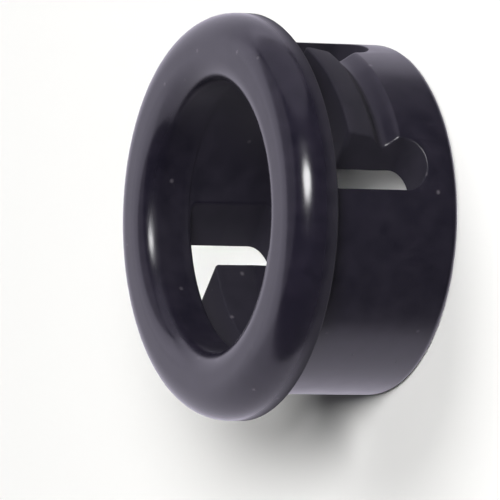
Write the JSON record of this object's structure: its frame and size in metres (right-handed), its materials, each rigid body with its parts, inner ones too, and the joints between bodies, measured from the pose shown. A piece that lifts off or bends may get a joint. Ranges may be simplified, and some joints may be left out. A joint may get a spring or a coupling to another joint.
{
  "type": "snap bushing",
  "caption": "One-piece moulded snap bushing: a round head with a rolled front and a smooth bore on a short barrel, with spring fingers in U-shaped slots that lock it in a panel hole.",
  "frame": {"origin": "centre of the free end of the barrel, on the bore axis, where the bushing stands", "axes": "+Z along the bore axis from the free end towards the head; the two snap fingers are on +X and -X"},
  "size_m": [0.0254, 0.0254, 0.0122],
  "materials": {
    "nylon": "black moulded nylon, satin gloss on the head, slightly duller on the barrel"
  },
  "bodies": {
    "root": {"bushing": "nylon"}
  },
  "joints": []
}
